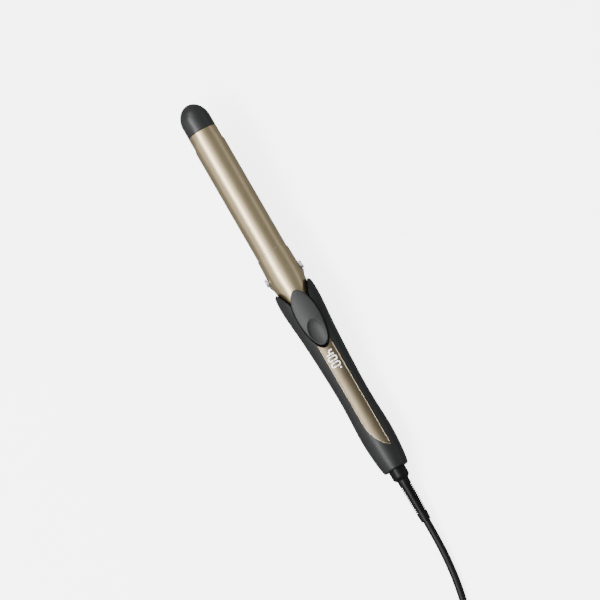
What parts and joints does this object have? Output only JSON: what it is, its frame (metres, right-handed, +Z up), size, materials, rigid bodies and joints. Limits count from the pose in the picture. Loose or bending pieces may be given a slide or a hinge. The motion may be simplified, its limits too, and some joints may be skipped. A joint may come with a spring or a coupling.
{
  "type": "curling iron",
  "caption": "Hair curling iron with a round heated barrel, spring clamp and thumb lever, lit temperature reading, flip-down heat stand and a swivel cord folded in a tied hank.",
  "frame": {"origin": "centre of the iron's own box in X and Y, on the table it rests on, without the cord", "axes": "+X along the iron towards the cool tip, which the heat stand lifts by 5.5 degrees, +Y to the iron's left seen from the tail with the thumb lever up, +Z up"},
  "size_m": [0.6113, 0.0558, 0.0555],
  "materials": {
    "barrel_gold": "satin champagne gold coating",
    "clamp_gold": "satin champagne gold coating",
    "tip_plastic": "fine moulded satin",
    "mount_plastic": "heat-proof moulding",
    "handle_plastic": "fine spark texture",
    "lever_plastic": "fine spark texture",
    "button_plastic": "satin",
    "inlay_gold": "brushed champagne gold",
    "display_light": "lit diffuser",
    "module_plastic": "moulded",
    "board_laminate": "solder mask",
    "capacitor_case": "moulded case",
    "glass_tube": "clear",
    "heater_aluminium": "extruded",
    "heater_ceramic": "sintered",
    "brass_contact": "stamped",
    "screw_steel": "zinc plated",
    "bright_screw": "nickel plated",
    "stand_steel": "brushed",
    "spring_steel": "drawn wire",
    "wire_cover": "silicone sleeve",
    "swivel_plastic": "moulded",
    "relief_rubber": "moulded satin",
    "cord_rubber": "satin jacket",
    "tie_plastic": "woven strap",
    "plug_rubber": "moulded satin",
    "blade_metal": "nickel-flashed brass"
  },
  "bodies": {
    "root": {"barrel": "barrel_gold", "cool_tip": "tip_plastic", "barrel_mount": "mount_plastic", "handle_upper": "handle_plastic", "handle_lower": "handle_plastic", "handle_inlay": "inlay_gold", "display_digits": "display_light", "display_module": "module_plastic", "button_switches": "module_plastic", "triac": "module_plastic", "control_board": "board_laminate", "button_board": "board_laminate", "film_capacitor": "capacitor_case", "board_fuse": "glass_tube", "thermistor": "glass_tube", "heater_carriers": "heater_aluminium", "thermal_fuse": "heater_aluminium", "ceramic_heaters": "heater_ceramic", "electrode_plates": "brass_contact", "contact_brushes": "brass_contact", "barrel_screws": "screw_steel", "handle_screws": "screw_steel", "hinge_screws": "bright_screw", "clamp_spring": "spring_steel", "heater_leads": "wire_cover", "mains_leads": "wire_cover", "swivel_retainer": "swivel_plastic", "cord_lead": "cord_rubber", "cord_hank": "cord_rubber", "cord_tail": "cord_rubber", "cord_tie": "tie_plastic", "plug_body": "plug_rubber", "plug_blades": "blade_metal"},
    "clamp": {"clamp_spoon": "clamp_gold", "clamp_base": "clamp_gold", "thumb_lever": "lever_plastic", "lever_screws": "screw_steel"},
    "heat_stand": {"stand": "stand_steel"},
    "power_key": {"power_button": "button_plastic"},
    "temp_up_key": {"temp_up_button": "button_plastic"},
    "temp_down_key": {"temp_down_button": "button_plastic"},
    "swivel": {"swivel_body": "swivel_plastic", "slip_rings": "brass_contact", "strain_relief": "relief_rubber"}
  },
  "joints": [
    {"name": "clamp_hinge", "type": "hinge", "parent": "root", "child": "clamp", "pos_m": [0.03501, 0, 0.02899], "axis": [0, -1, 0], "range_deg": [0, 11], "stiffness_Nm_per_rad": 0.8, "springref_deg": -11.46, "deforming": ["clamp_spring"]},
    {"name": "stand_hinge", "type": "hinge", "parent": "root", "child": "heat_stand", "pos_m": [0.03501, 0, 0.02899], "axis": [0, -1, 0], "range_deg": [0, 60]},
    {"name": "cord_swivel", "type": "hinge", "parent": "root", "child": "swivel", "pos_m": [-0.14615, 0, 0.01154], "axis": [0.9954, 0, 0.0958], "continuous": true},
    {"name": "power_press", "type": "slide", "parent": "root", "child": "power_key", "axis": [-0.055, 0.8192, 0.5709], "range_m": [0, 0.0005], "stiffness_N_per_m": 1500, "springref_m": -0.0002},
    {"name": "temp_up_press", "type": "slide", "parent": "root", "child": "temp_up_key", "axis": [-0.055, 0.8192, 0.5709], "range_m": [0, 0.0005], "stiffness_N_per_m": 1500, "springref_m": -0.0002},
    {"name": "temp_down_press", "type": "slide", "parent": "root", "child": "temp_down_key", "axis": [-0.055, 0.8192, 0.5709], "range_m": [0, 0.0005], "stiffness_N_per_m": 1500, "springref_m": -0.0002}
  ]
}
